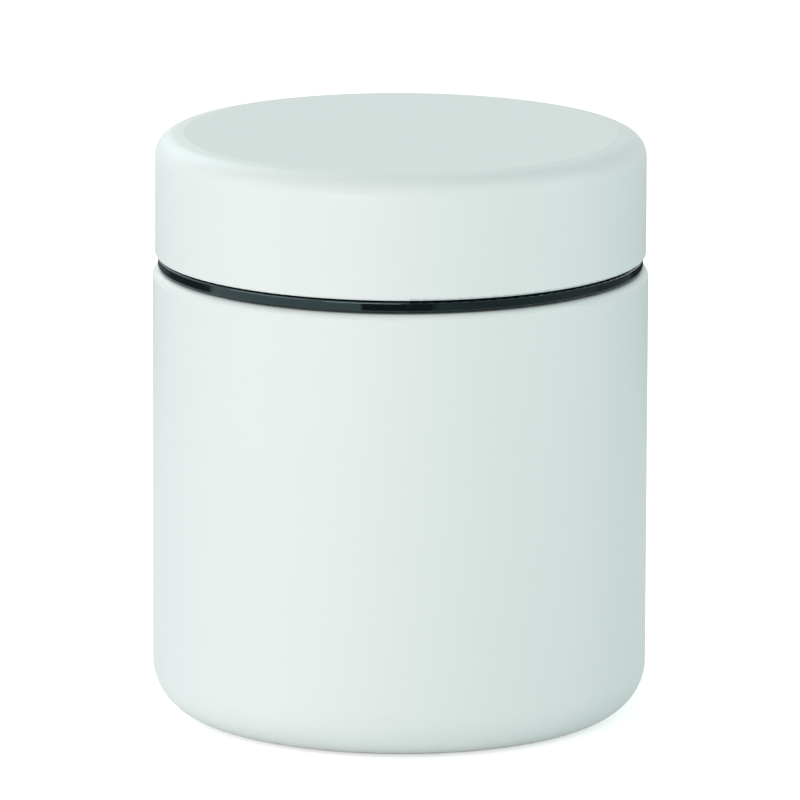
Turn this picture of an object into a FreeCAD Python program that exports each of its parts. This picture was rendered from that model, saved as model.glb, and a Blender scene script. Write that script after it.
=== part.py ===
import FreeCAD
import Part
import math
import os

# Insulated food jar with a screw-off lid: a double-walled steel jar and a steel cap on a moulded insert.
# Millimetres, +Z up. The origin is the centre of the foot ring, on the plane the jar stands on.

# Sheet and wall thicknesses
shell_sheet = 0.5
liner_sheet = 0.5
bottom_sheet = 0.5
cover_sheet = 0.5
cap_sheet = 0.5
foil_sheet = 0.1
clip_sheet = 0.3
moulding_wall = 1.5

# Outside of the jar
body_radius = 45.0
shoulder_height = 82.0
neck_height = 15.0
base_round = 9.3
shoulder_round = 1.5
neck_root_round = 0.9
foot_ring_width = 3.5
hem_height = 4.0
hem_round = 1.2

# Inside of the jar
wall_vacuum_gap = 3.6
food_floor_height = 7.2
food_floor_round = 9.0
weld_rise = 1.8
draw_start_drop = 6.5
draw_end_drop = 1.7
draw_round = 2.6
neck_draw = 3.6
neck_vacuum_gap = 1.5
lip_round = 1.3

# Closing disc in the base, with its pumping hole and solder seal
disc_recess = 2.4
disc_corner_round = 0.6
dimple_depth = 1.0
dimple_radius = 7.0
dimple_slope = 1.2
dimple_round = 0.8
pump_hole_radius = 0.9
seal_radius = 3.6
seal_height = 0.8
seal_plug = 0.4
seal_round = 0.7

# Cover disc pressed over the closing disc
cover_recess = 0.8
cover_corner_round = 0.8
cover_clearance = 0.2

# Getter pill under its clip
getter_radius = 4.5
getter_height = 2.0
getter_hem_gap = 8.0
getter_chamfer = 0.35
clip_width = 3.0
clip_foot = 2.2
clip_bend = 0.3
clip_clearance = 0.1

# Foil round the liner
foil_clearance = 0.05
foil_end_margin = 1.6

# Lid cap
cap_inset = 0.45
cap_edge_height = 2.5
cap_hem_width = 0.7
cap_hem_round = 0.55
cap_rise = 9.7
rim_round = 3.9
rim_width = 5.25
rim_fall = 0.75
crest_round = 0.8
dish_depth = 0.9
dish_slope_width = 19.3
dish_round = 300.0

# Moulded insert of the lid
flange_gap = 0.3
flange_inset = 0.55
flange_top_gap = 0.25
flange_edge_round = 0.35
bore_clearance = 1.3
socket_roof_gap = 2.1
socket_round = 0.8
plug_clearance = 1.2
plug_depth = 3.2
plug_round = 2.0
plug_shoulder_round = 0.4
retainer_bead = 0.6
retainer_height = 1.0
rib_count = 24
rib_width = 1.2
rib_start_gap = 1.2
rib_fit = 0.02

# Gasket and foam in the lid
gasket_play = 0.05
gasket_stretch_gap = 0.3
gasket_overhang = 0.3
gasket_body_height = 1.3
gasket_bead_half_width = 0.6
gasket_edge_round = 0.3
foam_clearance = 0.2
foam_chamfer = 1.0

# Places that follow from the sizes above
mouth_height = shoulder_height + neck_height
hem_radius = body_radius - base_round - foot_ring_width
food_radius = body_radius - shell_sheet - wall_vacuum_gap - liner_sheet
mouth_radius = food_radius - neck_draw
neck_radius = mouth_radius + liner_sheet + neck_vacuum_gap + shell_sheet
liner_weld_height = food_floor_height + food_floor_round + weld_rise
draw_start_height = shoulder_height - draw_start_drop
draw_end_height = shoulder_height - draw_end_drop
getter_distance = hem_radius - getter_hem_gap - getter_radius
cap_radius = body_radius - cap_inset
cap_edge = shoulder_height + cap_edge_height
lid_top = mouth_height + cap_rise
crest_radius = cap_radius - rim_width
dish_floor = lid_top - dish_depth
flange_bottom = shoulder_height + flange_gap
flange_top = cap_edge - flange_top_gap
flange_radius = cap_radius - flange_inset
bore_radius = neck_radius + bore_clearance
socket_roof = mouth_height + socket_roof_gap
plug_radius = mouth_radius - plug_clearance
plug_bottom = mouth_height - plug_depth
foil_radius = food_radius + liner_sheet + foil_clearance


def point(r, z):
    return FreeCAD.Vector(r, 0, z)


def direction(start, end):
    length = math.hypot(end[0] - start[0], end[1] - start[1])
    return (end[0] - start[0]) / length, (end[1] - start[1]) / length


def sides_of(path, index):
    """Directions of the path just before and just after one of its points."""
    last = len(path) - 1
    before = direction(path[max(index - 1, 0)], path[max(index, 1)])
    after = direction(path[min(index, last - 1)], path[min(index + 1, last)])
    return before, after


def beside(path, distance):
    """The path moved sideways, to the left of its run where the distance is positive."""
    moved = []
    for index, (r, z, bend) in enumerate(path):
        before, after = sides_of(path, index)
        turn = before[0] * after[1] - before[1] * after[0]
        reach = distance / (1 + before[0] * after[0] + before[1] * after[1])
        new_bend = bend
        if bend > 0:
            new_bend = max(bend - distance * math.copysign(1, turn), 0)
        moved.append((r - (before[1] + after[1]) * reach, z + (before[0] + after[0]) * reach, new_bend))
    return moved


def rounded_edges(path):
    """Edges along a path of (r, z, bend radius), with a tangent arc at each bend."""
    edges = []
    reached = point(path[0][0], path[0][1])
    for index in range(1, len(path)):
        r, z, bend = path[index]
        before, after = sides_of(path, index)
        turn = before[0] * after[1] - before[1] * after[0]
        half = math.atan2(abs(turn), before[0] * after[0] + before[1] * after[1]) / 2
        trim = bend * math.tan(half)
        arc_start = point(r - before[0] * trim, z - before[1] * trim)
        if (arc_start - reached).Length > 1e-6:
            edges.append(Part.LineSegment(reached, arc_start).toShape())
        reached = arc_start
        if trim > 1e-6:
            side = math.copysign(bend, turn)
            centre = arc_start + FreeCAD.Vector(-before[1] * side, 0, before[0] * side)
            outward = (point(r, z) - centre).normalize()
            arc_end = point(r + after[0] * trim, z + after[1] * trim)
            edges.append(Part.Arc(arc_start, centre + outward * bend, arc_end).toShape())
            reached = arc_end
    return edges


def sheet_face(path, thickness):
    """Section of a formed sheet: the path, its parallel, and the two cut edges."""
    parallel = beside(path, thickness)
    edges = rounded_edges(path)
    back = rounded_edges(parallel[::-1])
    end_cut = Part.LineSegment(point(*path[-1][:2]), point(*parallel[-1][:2])).toShape()
    start_cut = Part.LineSegment(point(*parallel[0][:2]), point(*path[0][:2])).toShape()
    return Part.Face(Part.Wire(edges + [end_cut] + back + [start_cut]))


def solid_face(outline):
    """Face inside a closed outline of (r, z, bend radius); its first corner is sharp."""
    return Part.Face(Part.Wire(rounded_edges(outline + [(outline[0][0], outline[0][1], 0)])))


def turned(face):
    """Solid of revolution about the jar's axis."""
    return face.revolve(FreeCAD.Vector(0, 0, 0), FreeCAD.Vector(0, 0, 1), 360)


def outer_shell():
    """Steel outside of the jar: foot ring, rounded base, wall, shoulder and neck, all one sheet."""
    path = [
        (hem_radius, hem_height, 0),
        (hem_radius, 0, hem_round),
        (body_radius, 0, base_round),
        (body_radius, shoulder_height, shoulder_round),
        (neck_radius, shoulder_height, neck_root_round),
        (neck_radius, mouth_height - liner_sheet, 0),
    ]
    return turned(sheet_face(path, shell_sheet))


def inner_liner():
    """Steel tube that holds the food, drawn in below the neck and rolled out over the neck's edge."""
    path = [
        (food_radius, liner_weld_height, 0),
        (food_radius, draw_start_height, draw_round),
        (mouth_radius, draw_end_height, draw_round),
        (mouth_radius, mouth_height, lip_round),
        (neck_radius, mouth_height, 0),
    ]
    return turned(sheet_face(path, -liner_sheet))


def inner_bottom():
    """Drawn floor of the food space, welded edge to edge to the liner."""
    path = [
        (0, food_floor_height, 0),
        (food_radius, food_floor_height, food_floor_round),
        (food_radius, liner_weld_height, 0),
    ]
    return turned(sheet_face(path, -liner_sheet))


def outer_bottom():
    """Closing disc welded inside the hem, dimpled inwards round the pumping hole."""
    path = [
        (pump_hole_radius, disc_recess + dimple_depth, 0),
        (dimple_radius, disc_recess + dimple_depth, dimple_round),
        (dimple_radius + dimple_slope, disc_recess, dimple_round),
        (hem_radius, disc_recess, disc_corner_round),
        (hem_radius, hem_height, 0),
    ]
    return turned(sheet_face(path, bottom_sheet))


def vacuum_seal():
    """Bead of solder that fills the pumping hole and spreads under the dimple."""
    dimple = disc_recess + dimple_depth
    outline = [
        (0, dimple + seal_plug, 0),
        (0, dimple - seal_height, 0),
        (seal_radius, dimple - seal_height, seal_round),
        (seal_radius, dimple, 0),
        (pump_hole_radius, dimple, 0),
        (pump_hole_radius, dimple + seal_plug, 0),
    ]
    return turned(solid_face(outline))


def base_cover():
    """Brushed disc that hides the seal, its turned-up edge resting on the closing disc."""
    edge = hem_radius - cover_clearance
    path = [
        (0, cover_recess, 0),
        (edge, cover_recess, cover_corner_round),
        (edge, disc_recess, 0),
    ]
    return turned(sheet_face(path, cover_sheet))


def heat_foil():
    """Foil wrapped round the straight part of the liner, inside the vacuum."""
    low = liner_weld_height + foil_end_margin
    high = draw_start_height - draw_round - foil_end_margin
    path = [(foil_radius, low, 0), (foil_radius, high, 0)]
    return turned(sheet_face(path, -foil_sheet))


def getter():
    """Pill that soaks up stray gas, lying on the closing disc inside the vacuum."""
    floor = disc_recess + bottom_sheet
    pill = Part.makeCylinder(getter_radius, getter_height, FreeCAD.Vector(getter_distance, 0, floor))
    rims = [edge for edge in pill.Edges if edge.Closed and len(edge.Vertexes) == 1]
    return pill.makeChamfer(getter_chamfer, rims)


def getter_clip():
    """Strap over the pill, with a foot each side that is welded to the closing disc."""
    floor = disc_recess + bottom_sheet
    inner = getter_radius + clip_clearance
    roof = floor + getter_height
    foot = inner + clip_sheet + clip_foot
    path = [
        (-foot, floor, 0),
        (-inner, floor, clip_bend),
        (-inner, roof, clip_bend),
        (inner, roof, clip_bend),
        (inner, floor, clip_bend),
        (foot, floor, 0),
    ]
    strap = sheet_face(path, clip_sheet).extrude(FreeCAD.Vector(0, clip_width, 0))
    strap.translate(FreeCAD.Vector(getter_distance, -clip_width / 2, 0))
    return strap


def lid_shell():
    """Steel cap: turned-in edge, straight wall, soft rim up to a crisp crest, and a faintly dished top."""
    path = [
        (cap_radius - cap_hem_width, cap_edge, 0),
        (cap_radius, cap_edge, cap_hem_round),
        (cap_radius, lid_top - rim_fall, rim_round),
        (crest_radius, lid_top, crest_round),
        (crest_radius - dish_slope_width, dish_floor, dish_round),
        (0, dish_floor, 0),
    ]
    return turned(sheet_face(path, cap_sheet))


def insert_rib():
    """One upright rib that holds the cap's wall off the insert's sleeve."""
    root = bore_radius + moulding_wall / 2
    reach = cap_radius - cap_sheet - rib_fit - root
    low = cap_edge + rib_start_gap
    height = socket_roof + moulding_wall - low
    corner = FreeCAD.Vector(root, -rib_width / 2, low)
    return Part.makeBox(reach, rib_width, height, corner)


def lid_insert():
    """Moulded insert: visible flange, sleeve that screws on the neck, roof over the rim, and plug."""
    wall = [
        (bore_radius, flange_bottom, 0),
        (bore_radius, socket_roof, socket_round),
        (plug_radius, socket_roof, plug_shoulder_round),
        (plug_radius, plug_bottom, plug_round),
        (0, plug_bottom, 0),
    ]
    flange = [
        (bore_radius, flange_bottom, 0),
        (flange_radius, flange_bottom, flange_edge_round),
        (flange_radius, flange_top, flange_edge_round),
        (bore_radius + moulding_wall / 2, flange_top, 0),
        (bore_radius, flange_top, 0),
    ]
    bead_middle = mouth_height - retainer_height
    bead = [
        (plug_radius - moulding_wall / 2, bead_middle - retainer_bead, 0),
        (plug_radius, bead_middle - retainer_bead, 0),
        (plug_radius + retainer_bead, bead_middle, retainer_bead / 2),
        (plug_radius, bead_middle + retainer_bead, 0),
        (plug_radius - moulding_wall / 2, bead_middle + retainer_bead, 0),
    ]
    pieces = [turned(solid_face(flange)), turned(solid_face(bead))]
    for number in range(rib_count):
        rib = insert_rib()
        rib.rotate(FreeCAD.Vector(0, 0, 0), FreeCAD.Vector(0, 0, 1), number * 360 / rib_count)
        pieces.append(rib)
    return turned(sheet_face(wall, -moulding_wall)).fuse(pieces).removeSplitter()


def lid_gasket():
    """Silicone ring stretched round the plug, with a bead that meets the rim of the mouth."""
    top = socket_roof - gasket_play
    body_bottom = top - gasket_body_height
    rim_contact = mouth_height + gasket_play
    inner = plug_radius + gasket_stretch_gap
    outer = neck_radius + gasket_overhang
    bead = (mouth_radius + lip_round + neck_radius) / 2
    outline = [
        (bead, top, 0),
        (inner, top, gasket_edge_round),
        (inner, body_bottom, gasket_edge_round),
        (bead - gasket_bead_half_width, body_bottom, 0),
        (bead - gasket_bead_half_width, rim_contact, gasket_edge_round),
        (bead + gasket_bead_half_width, rim_contact, gasket_edge_round),
        (bead + gasket_bead_half_width, body_bottom, 0),
        (outer, body_bottom, gasket_edge_round),
        (outer, top, gasket_edge_round),
    ]
    return turned(solid_face(outline))


def lid_foam():
    """Insulating puck that fills the plug up to the cap's dished top."""
    radius = plug_radius - moulding_wall - foam_clearance
    low = plug_bottom + moulding_wall
    high = dish_floor - cap_sheet - foam_clearance
    outline = [
        (0, low, 0),
        (radius - foam_chamfer, low, 0),
        (radius, low + foam_chamfer, 0),
        (radius, high - foam_chamfer, 0),
        (radius - foam_chamfer, high, 0),
        (0, high, 0),
    ]
    return turned(solid_face(outline))


sub_parts = [
    outer_shell,
    inner_liner,
    inner_bottom,
    outer_bottom,
    vacuum_seal,
    base_cover,
    heat_foil,
    getter,
    getter_clip,
    lid_shell,
    lid_insert,
    lid_gasket,
    lid_foam,
]

os.makedirs("parts", exist_ok=True)
for make in sub_parts:
    shape = make()
    shape.exportStep("parts/" + make.__name__ + ".step")
    print(make.__name__, shape.ShapeType, len(shape.Solids), shape.isValid(), round(shape.Volume, 1))
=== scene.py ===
import math

import bmesh
import bpy
from mathutils import Matrix, Vector


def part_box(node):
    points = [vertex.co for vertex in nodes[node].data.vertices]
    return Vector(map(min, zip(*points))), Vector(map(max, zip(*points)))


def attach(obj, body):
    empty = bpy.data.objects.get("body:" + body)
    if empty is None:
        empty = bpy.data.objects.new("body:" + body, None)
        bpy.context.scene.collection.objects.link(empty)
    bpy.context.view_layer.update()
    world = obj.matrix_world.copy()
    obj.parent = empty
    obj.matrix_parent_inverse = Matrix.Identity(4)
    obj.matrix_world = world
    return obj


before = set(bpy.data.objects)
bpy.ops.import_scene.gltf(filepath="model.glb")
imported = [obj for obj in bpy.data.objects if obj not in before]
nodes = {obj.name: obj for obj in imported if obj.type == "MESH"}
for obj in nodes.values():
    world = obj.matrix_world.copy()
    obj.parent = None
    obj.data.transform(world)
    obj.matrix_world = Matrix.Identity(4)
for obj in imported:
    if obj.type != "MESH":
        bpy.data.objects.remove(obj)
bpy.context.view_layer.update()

MM = 0.001

# Places read from the frame; the flange of the insert hangs just above the shoulder
flange_gap = 0.3 * MM
shoulder_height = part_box("lid_insert")[0].z - flange_gap
weld_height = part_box("inner_liner")[0].z

# Neck, socket and food space, as the construction has them
neck_radius = 39.3 * MM
bore_radius = 40.6 * MM
food_radius = 40.4 * MM

# Screw thread: three starts, right-handed, the lead that couples the lid's rise to its turn
thread_starts = 3
thread_lead = 12.0 * MM
neck_thread_height = 0.8 * MM
neck_thread_width = 2.3 * MM
neck_thread_sweep = math.radians(140)
neck_thread_low = shoulder_height + 5.0 * MM
lid_thread_height = 0.85 * MM
lid_thread_width = 1.5 * MM
lid_thread_sweep = math.radians(100)
lid_thread_low = neck_thread_low - 1.95 * MM
thread_taper = math.radians(12)
thread_embed = 0.12 * MM
thread_root = 0.18 * MM
thread_sharpness = 1.4
thread_points_across = 12
thread_steps_per_turn = 180

# Weld bead inside the liner, half sunk into its wall
weld_radius = 0.09 * MM
weld_circle = food_radius + 0.02 * MM
weld_steps = 192
weld_sides = 10

# Coat: its tones, the height where it ends on the neck, and the waver and blur of that edge
coat_shade = (0.778, 0.842, 0.826)
coat_light = (0.800, 0.862, 0.848)
coat_speck = (0.791, 0.854, 0.839)
bare_line = shoulder_height + 1.1 * MM
bare_line_waver = 0.5 * MM
bare_line_blur = 0.06 * MM


def node_material(name):
    """A new material with nodes, its tree, and its principled shader."""
    material = bpy.data.materials.new(name)
    material.use_nodes = True
    tree = material.node_tree
    return material, tree, tree.nodes["Principled BSDF"]


def add(tree, kind, **settings):
    """Adds a node; settings are its properties."""
    node = tree.nodes.new(kind)
    for name, value in settings.items():
        setattr(node, name, value)
    return node


def give(tree, target, value):
    """Gives an input a socket to follow, or a plain value."""
    if isinstance(value, bpy.types.NodeSocket):
        tree.links.new(value, target)
    else:
        target.default_value = value


def give_all(tree, node, values):
    """Gives a node's inputs, by name, a socket or a plain value each."""
    for name, value in values.items():
        give(tree, node.inputs[name], value)


def math_node(tree, operation, first, second=None):
    """A math node whose inputs are sockets or numbers."""
    node = add(tree, "ShaderNodeMath", operation=operation)
    give(tree, node.inputs[0], first)
    if second is not None:
        give(tree, node.inputs[1], second)
    return node.outputs[0]


def remap(tree, value, low, high, to_low=0.0, to_high=1.0):
    """Maps a value from one range to another, clamped."""
    node = add(tree, "ShaderNodeMapRange")
    limits = {"Value": value, "From Min": low, "From Max": high, "To Min": to_low, "To Max": to_high}
    give_all(tree, node, limits)
    return node.outputs["Result"]


def mix_colours(tree, share, first, second):
    """Mixes two colours, each a socket or an RGB triple, by a share."""
    node = add(tree, "ShaderNodeMix", data_type="RGBA")
    tree.links.new(share, node.inputs["Factor"])
    colour_inputs = [socket for socket in node.inputs if socket.type == "RGBA"]
    for socket, value in zip(colour_inputs, (first, second)):
        is_triple = isinstance(value, tuple)
        give(tree, socket, (*value, 1) if is_triple else value)
    return [socket for socket in node.outputs if socket.type == "RGBA"][0]


def mix_values(tree, share, first, second):
    """Mixes two value sockets by a share."""
    node = add(tree, "ShaderNodeMix", data_type="FLOAT")
    value_inputs = [socket for socket in node.inputs if socket.type == "VALUE"]
    for socket, value in zip(value_inputs, (share, first, second)):
        tree.links.new(value, socket)
    return [socket for socket in node.outputs if socket.type == "VALUE"][0]


def noise(tree, vector, scale=1.0, detail=2.0, roughness=0.5):
    """Noise texture on a vector socket, as a value from 0 to 1."""
    node = add(tree, "ShaderNodeTexNoise")
    give_all(tree, node, {"Vector": vector, "Scale": scale, "Detail": detail, "Roughness": roughness})
    return node.outputs["Fac"]


def bump(tree, height, distance, strength, under=None):
    """Bump from a height socket, on top of another bump where one is given."""
    node = add(tree, "ShaderNodeBump")
    give_all(tree, node, {"Strength": strength, "Distance": distance, "Height": height})
    if under is not None:
        tree.links.new(under, node.inputs["Normal"])
    return node.outputs["Normal"]


def object_vector(tree):
    """Object coordinates as a vector socket."""
    return add(tree, "ShaderNodeTexCoord").outputs["Object"]


def split_vector(tree, vector):
    """The x, y and z sockets of a vector socket."""
    node = add(tree, "ShaderNodeSeparateXYZ")
    tree.links.new(vector, node.inputs[0])
    return node.outputs


def axis_distance(tree, vector):
    """Distance of a place from the jar's axis."""
    x, y = split_vector(tree, vector)[:2]
    square = math_node(tree, "ADD", math_node(tree, "MULTIPLY", x, x), math_node(tree, "MULTIPLY", y, y))
    return math_node(tree, "SQRT", square)


def grain(tree, vector, along, fineness, stretch, detail, roughness=0.5):
    """Noise drawn out into fine lines round the axis, one after the other along the given value."""
    x, y = split_vector(tree, vector)[:2]
    node = add(tree, "ShaderNodeCombineXYZ")
    for socket, value, factor in zip(node.inputs, (x, y, along), (stretch, stretch, fineness)):
        tree.links.new(math_node(tree, "MULTIPLY", value, factor), socket)
    return noise(tree, node.outputs[0], detail=detail, roughness=roughness)


def coat_material(name, bare_from=None):
    """Matte white powder coat with a fine orange peel; bare steel above a height, where one is given."""
    material, tree, shader = node_material(name)
    vector = object_vector(tree)
    cloud = noise(tree, vector, scale=28.0, detail=3.0)
    peel = noise(tree, vector, scale=2300.0, roughness=0.55)
    dimples = noise(tree, vector, scale=620.0)
    tone = mix_colours(tree, cloud, coat_shade, coat_light)
    tone = mix_colours(tree, remap(tree, peel, 0.3, 0.7), tone, coat_speck)
    roughness = remap(tree, dimples, 0.25, 0.75, to_low=0.40, to_high=0.48)
    normal = bump(tree, peel, distance=0.010 * MM, strength=0.55)
    normal = bump(tree, dimples, distance=0.020 * MM, strength=0.35, under=normal)
    if bare_from is not None:
        z = split_vector(tree, vector)[2]
        off_centre = math_node(tree, "SUBTRACT", noise(tree, vector, scale=160.0), 0.5)
        edge = math_node(tree, "ADD", z, math_node(tree, "MULTIPLY", off_centre, bare_line_waver))
        bare = remap(tree, edge, bare_from - bare_line_blur, bare_from + bare_line_blur)
        lines = grain(tree, vector, z, fineness=3800.0, stretch=60.0, detail=3.0)
        steel_tone = mix_colours(tree, lines, (0.50, 0.50, 0.49), (0.66, 0.66, 0.65))
        tone = mix_colours(tree, bare, tone, steel_tone)
        steel_roughness = remap(tree, lines, 0.2, 0.8, to_low=0.24, to_high=0.38)
        roughness = mix_values(tree, bare, roughness, steel_roughness)
        tree.links.new(bare, shader.inputs["Metallic"])
    give_all(tree, shader, {
        "Base Color": tone, "Roughness": roughness, "Normal": normal, "Specular IOR Level": 0.42,
    })
    return material


def steel_material(name, dark, light, smoothest, roughest, flat=False, fineness=3200.0):
    """Steel with fine lines turned round the axis: up a wall, or as rings on a flat face."""
    material, tree, shader = node_material(name)
    vector = object_vector(tree)
    along = axis_distance(tree, vector) if flat else split_vector(tree, vector)[2]
    lines = grain(tree, vector, along, fineness, stretch=55.0, detail=4.0, roughness=0.6)
    cloud = noise(tree, vector, scale=45.0)
    tone = mix_colours(tree, lines, dark, light)
    give_all(tree, shader, {
        "Base Color": mix_colours(tree, remap(tree, cloud, 0.3, 0.7, to_high=0.35), tone, dark),
        "Roughness": remap(tree, lines, 0.25, 0.75, smoothest, roughest),
        "Normal": bump(tree, lines, distance=0.006 * MM, strength=0.5),
        "Metallic": 1.0,
        "Anisotropic": 0.4,
    })
    return material


def black_plastic_material(name):
    """Glossy black moulded plastic with faint flow marks and a few hair scratches."""
    material, tree, shader = node_material(name)
    vector = object_vector(tree)
    flow = noise(tree, vector, scale=90.0, detail=3.0)
    z = split_vector(tree, vector)[2]
    scratches = grain(tree, vector, z, fineness=5200.0, stretch=40.0, detail=2.0)
    flow_roughness = remap(tree, flow, 0.3, 0.7, to_low=0.07, to_high=0.12)
    scratch_roughness = remap(tree, scratches, 0.62, 0.80, to_high=0.10)
    give_all(tree, shader, {
        "Base Color": mix_colours(tree, flow, (0.0035, 0.0062, 0.0085), (0.0055, 0.0088, 0.0118)),
        "Roughness": math_node(tree, "ADD", flow_roughness, scratch_roughness),
        "Normal": bump(tree, flow, distance=0.015 * MM, strength=0.25),
        "Specular IOR Level": 0.74,
        "Specular Tint": (0.68, 1.0, 1.0, 1),
    })
    return material


def silicone_material(name):
    """Translucent off-white silicone with a soft sheen and a dusting of fine marks."""
    material, tree, shader = node_material(name)
    marks = noise(tree, object_vector(tree), scale=900.0, detail=3.0)
    give_all(tree, shader, {
        "Base Color": mix_colours(tree, marks, (0.62, 0.64, 0.63), (0.74, 0.75, 0.74)),
        "Roughness": remap(tree, marks, 0.3, 0.7, to_low=0.38, to_high=0.52),
        "Normal": bump(tree, marks, distance=0.010 * MM, strength=0.4),
        "Subsurface Weight": 0.25,
        "Subsurface Radius": (1.2 * MM, 1.1 * MM, 1.0 * MM),
        "Subsurface Scale": 1.0,
    })
    return material


def foam_material(name):
    """White bead foam: rounded cells with darker seams."""
    material, tree, shader = node_material(name)
    cells = add(tree, "ShaderNodeTexVoronoi")
    give_all(tree, cells, {"Vector": object_vector(tree), "Scale": 420.0})
    distance = cells.outputs["Distance"]
    share = remap(tree, distance, 0.2, 0.7)
    give_all(tree, shader, {
        "Base Color": mix_colours(tree, share, (0.86, 0.86, 0.83), (0.66, 0.66, 0.63)),
        "Roughness": remap(tree, distance, 0.0, 0.8, to_low=0.75, to_high=0.95),
        "Normal": bump(tree, distance, distance=-0.30 * MM, strength=0.6),
    })
    return material


def dress(node, material):
    """Gives a construction node its material, in every slot it has."""
    mesh_object = nodes[node]
    if not mesh_object.material_slots:
        mesh_object.data.materials.append(material)
    for held in mesh_object.material_slots:
        held.material = material


def new_object(name, corners, faces):
    """A mesh object in the scene."""
    mesh = bpy.data.meshes.new(name)
    mesh.from_pydata(corners, [], faces)
    mesh.validate()
    mesh.update()
    made = bpy.data.objects.new(name, mesh)
    bpy.context.scene.collection.objects.link(made)
    return made


def smooth_piece(name, corners, faces, material):
    """A closed mesh object with smooth faces that point outward, and its material."""
    piece = new_object(name, corners, faces)
    work = bmesh.new()
    work.from_mesh(piece.data)
    bmesh.ops.recalc_face_normals(work, faces=work.faces)
    work.to_mesh(piece.data)
    work.free()
    for face in piece.data.polygons:
        face.use_smooth = True
    piece.data.materials.append(material)
    return piece


def round_place(distance, angle, height):
    """Place at a distance and angle round the axis."""
    return (distance * math.cos(angle), distance * math.sin(angle), height)


def tube_faces(rows, around, closed):
    """Faces between rows of corners that each go round; closed joins the last row to the first."""
    faces = []
    for row in range(rows if closed else rows - 1):
        here = row * around
        there = (row + 1) % rows * around
        for place in range(around):
            following = (place + 1) % around
            faces.append((here + place, there + place, there + following, here + following))
    return faces


def thread_ridge(name, radius, height, width, low, start, sweep, inward, material):
    """One thread ridge: a rounded bulge swept up a helix, sinking into the wall at both ends."""
    steps = int(thread_steps_per_turn * sweep / (2 * math.pi))
    sign = -1 if inward else 1
    corners = []
    for step in range(steps + 1):
        angle = sweep * step / steps
        middle = low + thread_lead * angle / (2 * math.pi)
        ease = min(angle / thread_taper, (sweep - angle) / thread_taper, 1)
        ease = math.sin(max(ease, 0) * math.pi / 2)
        for place in range(thread_points_across + 1):
            share = place / thread_points_across
            bulge = math.sin(share * math.pi) ** thread_sharpness
            reach = (height + thread_embed) * bulge * ease - thread_embed
            z = middle + width * (share - 0.5)
            corners.append(round_place(radius + sign * reach, start + angle, z))
        back = radius - sign * thread_root
        for side in (0.5, -0.5):
            corners.append(round_place(back, start + angle, middle + width * side))
    around = thread_points_across + 3
    faces = tube_faces(steps + 1, around, closed=False)
    faces.append(tuple(range(around)))
    faces.append(tuple(reversed(range(steps * around, (steps + 1) * around))))
    return smooth_piece(name, corners, faces, material)


def ring_bead(name, circle, z, bead_radius, material):
    """Thin ring of round section, as a weld bead."""
    corners = []
    for step in range(weld_steps):
        angle = 2 * math.pi * step / weld_steps
        for side in range(weld_sides):
            turn = 2 * math.pi * side / weld_sides
            distance = circle + bead_radius * math.cos(turn)
            corners.append(round_place(distance, angle, z + bead_radius * math.sin(turn)))
    return smooth_piece(name, corners, tube_faces(weld_steps, weld_sides, closed=True), material)


# Materials of the construction's nodes
white_jar = coat_material("white_coat_with_bare_neck", bare_line)
white_cap = coat_material("white_coat")
wall_steel = steel_material(
    "liner_steel", dark=(0.46, 0.46, 0.45), light=(0.62, 0.62, 0.61), smoothest=0.22, roughest=0.36,
)
floor_steel = steel_material(
    "floor_steel", dark=(0.46, 0.46, 0.45), light=(0.60, 0.60, 0.59), smoothest=0.24, roughest=0.38, flat=True,
)
cover_steel = steel_material(
    "cover_steel", dark=(0.50, 0.50, 0.49), light=(0.66, 0.66, 0.65), smoothest=0.28, roughest=0.42, flat=True,
)
disc_steel = steel_material(
    "disc_steel", dark=(0.40, 0.40, 0.40), light=(0.54, 0.54, 0.53), smoothest=0.30, roughest=0.45, flat=True,
)
solder = steel_material(
    "solder", dark=(0.30, 0.30, 0.31), light=(0.42, 0.42, 0.43), smoothest=0.40, roughest=0.60,
    flat=True, fineness=900.0,
)
foil = steel_material(
    "foil", dark=(0.74, 0.74, 0.75), light=(0.86, 0.86, 0.87), smoothest=0.12, roughest=0.25,
    fineness=700.0,
)
pill = steel_material(
    "getter_pill", dark=(0.20, 0.20, 0.21), light=(0.30, 0.30, 0.31), smoothest=0.55, roughest=0.75,
    flat=True, fineness=1200.0,
)
black_plastic = black_plastic_material("black_plastic")
silicone = silicone_material("silicone")
foam = foam_material("foam")

node_materials = {
    "outer_shell": white_jar,
    "lid_shell": white_cap,
    "inner_liner": wall_steel,
    "inner_bottom": floor_steel,
    "outer_bottom": disc_steel,
    "base_cover": cover_steel,
    "vacuum_seal": solder,
    "heat_foil": foil,
    "getter": pill,
    "getter_clip": disc_steel,
    "lid_insert": black_plastic,
    "lid_gasket": silicone,
    "lid_foam": foam,
}
for node, material in node_materials.items():
    dress(node, material)

# Threads of the neck and of the lid, each ridge of the lid just under one of the neck
for number in range(thread_starts):
    start = 2 * math.pi * number / thread_starts
    ridge = thread_ridge(
        "neck_thread_" + str(number + 1), neck_radius, neck_thread_height, neck_thread_width,
        neck_thread_low, start, neck_thread_sweep, inward=False, material=wall_steel,
    )
    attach(ridge, "jar")
    lug = thread_ridge(
        "lid_thread_" + str(number + 1), bore_radius, lid_thread_height, lid_thread_width,
        lid_thread_low, start, lid_thread_sweep, inward=True, material=black_plastic,
    )
    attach(lug, "lid")

# Weld line where the liner's wall meets its floor
weld = ring_bead("liner_weld", weld_circle, weld_height, weld_radius, wall_steel)
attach(weld, "jar")

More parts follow.
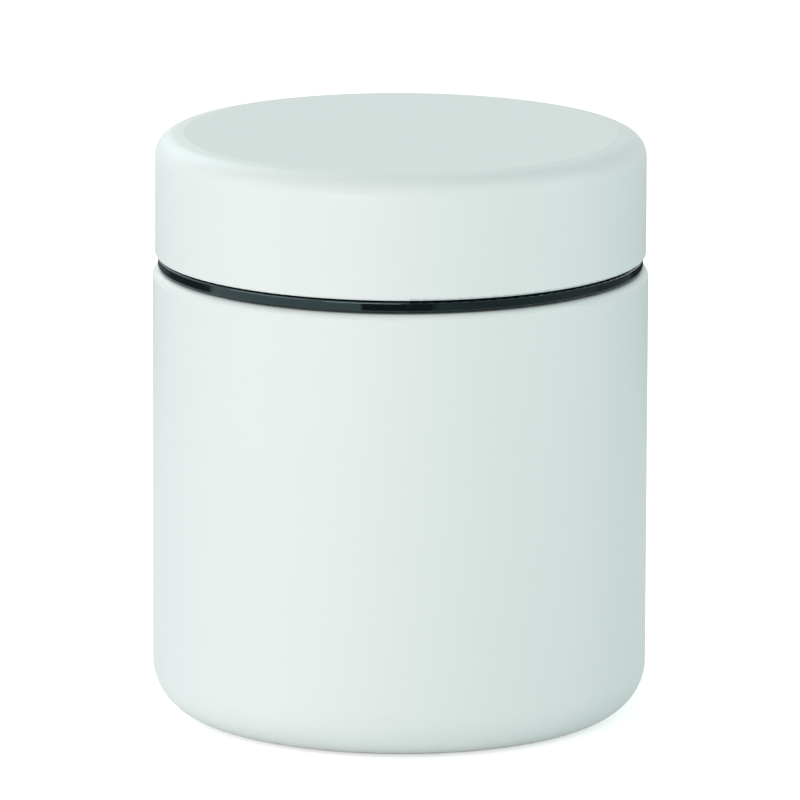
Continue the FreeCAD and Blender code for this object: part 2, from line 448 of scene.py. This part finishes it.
# White floor that shows from above only; it is lifted to pure white for the camera, up to the contact shadow
floor_half = 6.0
floor_drop = 0.05 * MM
floor_lift = 0.50
floor_sides = [(-1, -1), (1, -1), (1, 1), (-1, 1)]
floor_corners = [(x * floor_half, y * floor_half, -floor_drop) for x, y in floor_sides]
floor = new_object("studio_floor", floor_corners, [(0, 1, 2, 3)])
floor_material, floor_tree, floor_shader = node_material("studio_floor")
path = add(floor_tree, "ShaderNodeLightPath")
seen = math_node(floor_tree, "MAXIMUM", path.outputs["Is Camera Ray"], path.outputs["Is Transmission Ray"])
give_all(floor_tree, floor_shader, {
    "Base Color": (0.97, 0.98, 0.98, 1),
    "Roughness": 0.9,
    "Specular IOR Level": 0.1,
    "Emission Color": (1, 1, 1, 1),
    "Emission Strength": math_node(floor_tree, "MULTIPLY", seen, floor_lift),
})
one_sided = add(floor_tree, "ShaderNodeMixShader")
from_below = add(floor_tree, "ShaderNodeNewGeometry").outputs["Backfacing"]
see_through = add(floor_tree, "ShaderNodeBsdfTransparent").outputs[0]
for socket, value in zip(one_sided.inputs, (from_below, floor_shader.outputs[0], see_through)):
    floor_tree.links.new(value, socket)
floor_tree.links.new(one_sided.outputs[0], floor_tree.nodes["Material Output"].inputs["Surface"])
floor.data.materials.append(floor_material)

# World: plain white where it is seen or mirrored, and a soft fill where it lights
world_fill = 0.499
fill_colour = (0.900, 1.000, 0.976)
shown_white = (1.0, 1.0, 1.0)
world = bpy.data.worlds.new("studio")
bpy.context.scene.world = world
world.use_nodes = True
world_tree = world.node_tree
world_path = add(world_tree, "ShaderNodeLightPath")
rays = world_path.outputs
shown = math_node(world_tree, "MAXIMUM", rays["Is Camera Ray"], rays["Is Glossy Ray"])
shown = math_node(world_tree, "MAXIMUM", shown, rays["Is Transmission Ray"])
give_all(world_tree, world_tree.nodes["Background"], {
    "Strength": remap(world_tree, shown, 0.0, 1.0, to_low=world_fill),
    "Color": mix_colours(world_tree, shown, fill_colour, shown_white),
})

# Soft boxes, all at one distance from a point half way up the jar
lamp_distance = 1.3
lamp_aim = Vector((0, 0, 55 * MM))


def soft_lamp(name, azimuth, elevation, width, height, power, colour):
    """Soft box that faces the jar; azimuth 0 is in front of it and 90 is to its right."""
    lamp = bpy.data.lights.new(name, "AREA")
    lamp.shape = "RECTANGLE"
    lamp.size = width
    lamp.size_y = height
    lamp.energy = power
    lamp.color = colour
    holder = bpy.data.objects.new(name, lamp)
    turn = math.radians(azimuth)
    rise = math.radians(elevation)
    outward = Vector((math.sin(turn) * math.cos(rise), -math.cos(turn) * math.cos(rise), math.sin(rise)))
    holder.location = lamp_aim + outward * lamp_distance
    holder.rotation_euler = outward.to_track_quat("Z", "Y").to_euler()
    holder.visible_camera = False
    bpy.context.scene.collection.objects.link(holder)


soft_lamp(
    "left_box", azimuth=-68, elevation=20,
    width=1.0, height=0.9, power=3.65, colour=(1.0, 0.890, 0.974),
)
soft_lamp(
    "side_box", azimuth=78, elevation=20,
    width=0.5, height=0.9, power=3.07, colour=(0.907, 0.975, 1.0),
)
soft_lamp(
    "far_left_box", azimuth=-150, elevation=35,
    width=0.8, height=0.8, power=4.59, colour=(0.930, 1.0, 0.989),
)
soft_lamp(
    "low_front_box", azimuth=-20, elevation=7,
    width=0.8, height=0.35, power=4.75, colour=(1.0, 0.891, 0.866),
)

# Curved cards that stand round the jar
card_distance = 300 * MM
card_height = 45 * MM
card_foot = 1 * MM
card_step_degrees = 3


def studio_card(name, from_azimuth, to_azimuth, tone):
    """Curved card that only gloss sees: it darkens what the black ring mirrors between two azimuths."""
    steps = int((to_azimuth - from_azimuth) / card_step_degrees)
    corners = []
    for step in range(steps + 1):
        turn = math.radians(from_azimuth + (to_azimuth - from_azimuth) * step / steps)
        for height in (card_foot, card_height):
            corners.append((math.sin(turn) * card_distance, -math.cos(turn) * card_distance, height))
    quads = [(2 * step, 2 * step + 1, 2 * step + 3, 2 * step + 2) for step in range(steps)]
    card = new_object(name, corners, quads)
    material, tree, shader = node_material(name)
    give_all(tree, shader, {"Base Color": (tone, tone, tone, 1), "Roughness": 0.9})
    card.data.materials.append(material)
    card.visible_camera = False
    card.visible_diffuse = False
    card.visible_shadow = False


studio_card("front_card", from_azimuth=-17, to_azimuth=15, tone=0.03)
studio_card("right_card", from_azimuth=15, to_azimuth=100, tone=0.28)
studio_card("side_card", from_azimuth=100, to_azimuth=134, tone=0.17)
studio_card("back_card", from_azimuth=134, to_azimuth=180, tone=0.03)
studio_card("far_card", from_azimuth=180, to_azimuth=225, tone=0.13)
studio_card("left_card", from_azimuth=225, to_azimuth=265, tone=0.03)

# Camera at the photograph's angle
aim_height = 57.14 * MM
view_distance = 1.8425
view_elevation = math.radians(12.07)
view_roll = math.radians(0.2)
sensor_width = 36.0
picture_width = 800
pixels_per_mm = 5.496

camera_data = bpy.data.cameras.new("camera")
camera_data.sensor_width = sensor_width
camera_data.lens = pixels_per_mm * view_distance / MM / picture_width * sensor_width
camera_data.clip_start = 0.05
camera_data.clip_end = 30
camera = bpy.data.objects.new("camera", camera_data)
outward = Vector((0, -math.cos(view_elevation), math.sin(view_elevation)))
turned = outward.to_track_quat("Z", "Y").to_matrix().to_4x4() @ Matrix.Rotation(view_roll, 4, "Z")
camera.matrix_world = Matrix.Translation(Vector((0, 0, aim_height)) + outward * view_distance) @ turned
bpy.context.scene.collection.objects.link(camera)
bpy.context.scene.camera = camera
bpy.context.scene.view_settings.view_transform = "Standard"
